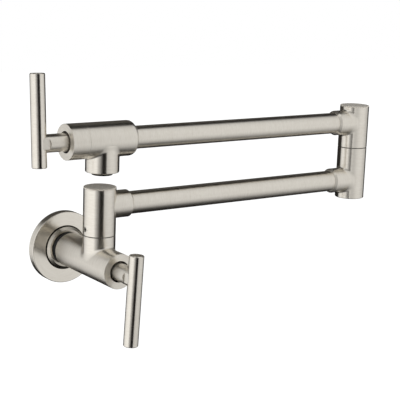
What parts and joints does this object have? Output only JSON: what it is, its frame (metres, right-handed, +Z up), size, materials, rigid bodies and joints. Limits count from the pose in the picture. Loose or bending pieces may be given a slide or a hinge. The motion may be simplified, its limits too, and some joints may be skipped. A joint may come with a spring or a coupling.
{
  "type": "wall-mounted folding pot filler",
  "caption": "Wall-mounted folding pot filler: folded swing arms, a quarter-turn valve at the wall and another at the spout, in brushed nickel.",
  "frame": {"origin": "centre of the threaded pipe inlet, on the face of the wall", "axes": "+X along the folded arms from the wall post to the elbow, +Y into the wall along the inlet's axis, +Z up along the swivels' axes; the user stands on the -Y side"},
  "size_m": [0.3503, 0.1256, 0.2125],
  "materials": {
    "brushed_nickel": "warm brushed nickel plate, brush lines round every cylinder",
    "raw_brass": "machined, unplated",
    "black_rubber": "moulded, matte",
    "ceramic": "lapped alumina",
    "stainless_steel": "turned stainless steel",
    "ptfe": "smooth fluoropolymer",
    "black_acetal": "smooth acetal",
    "aerator_metal": "dark plated brass",
    "aerator_plastic": "moulded acetal honeycomb"
  },
  "bodies": {
    "wall_unit": {"escutcheon": "brushed_nickel", "wall_gasket": "black_rubber", "escutcheon_o_ring": "black_rubber", "inlet_collar": "brushed_nickel", "inlet_o_ring": "black_rubber", "valve_body": "brushed_nickel", "wall_cover_ring": "brushed_nickel", "wall_cartridge_housing": "raw_brass", "wall_seat_seal": "black_rubber", "wall_fixed_disc": "ceramic", "wall_housing_o_ring": "black_rubber", "swivel_spigot": "raw_brass", "swivel_o_rings": "black_rubber", "swivel_slip_washer": "black_acetal"},
    "wall_handle": {"wall_moving_disc": "ceramic", "wall_spindle": "raw_brass", "wall_spindle_o_rings": "black_rubber", "wall_spindle_clip": "stainless_steel", "wall_handle_hub": "brushed_nickel", "wall_handle_grub_screw": "stainless_steel", "wall_bar_screw": "stainless_steel", "wall_handle_bar": "brushed_nickel"},
    "lower_arm": {"swivel_post": "brushed_nickel", "post_cap": "brushed_nickel", "post_cap_o_ring": "black_rubber", "post_grub_screw": "stainless_steel", "lower_arm_tube": "brushed_nickel", "lower_arm_seals": "ptfe", "elbow_base": "brushed_nickel", "elbow_spigot": "raw_brass", "elbow_o_rings": "black_rubber", "elbow_slip_washer": "black_acetal"},
    "upper_arm": {"elbow_head": "brushed_nickel", "elbow_cap": "brushed_nickel", "elbow_cap_o_ring": "black_rubber", "elbow_grub_screw": "stainless_steel", "upper_arm_tube": "brushed_nickel", "upper_arm_seals": "ptfe", "spout_body": "brushed_nickel", "spout_sleeve_nut": "brushed_nickel", "spout_cartridge_housing": "raw_brass", "spout_seat_seal": "black_rubber", "spout_fixed_disc": "ceramic", "spout_housing_o_ring": "black_rubber", "aerator_shell": "aerator_metal", "aerator_insert": "aerator_plastic", "aerator_washer": "black_rubber"},
    "spout_handle": {"spout_moving_disc": "ceramic", "spout_spindle": "raw_brass", "spout_spindle_o_rings": "black_rubber", "spout_spindle_clip": "stainless_steel", "spout_handle_hub": "brushed_nickel", "spout_handle_grub_screw": "stainless_steel", "spout_bar_screw": "stainless_steel", "spout_handle_bar": "brushed_nickel"}
  },
  "joints": [
    {"name": "wall_handle_turn", "type": "hinge", "parent": "wall_unit", "child": "wall_handle", "pos_m": [0, -0.0965, 0], "axis": [0, -1, 0], "range_deg": [0, 90]},
    {"name": "arm_swivel", "type": "hinge", "parent": "wall_unit", "child": "lower_arm", "pos_m": [0, -0.0633, 0.0237], "axis": [0, 0, 1], "range_deg": [-180, 0]},
    {"name": "elbow_fold", "type": "hinge", "parent": "lower_arm", "child": "upper_arm", "pos_m": [0.275, -0.0633, 0.0787], "axis": [0, 0, 1], "continuous": true},
    {"name": "spout_handle_turn", "type": "hinge", "parent": "upper_arm", "child": "spout_handle", "pos_m": [-0.0327, -0.0633, 0.1021], "axis": [-1, 0, 0], "range_deg": [0, 90]}
  ]
}
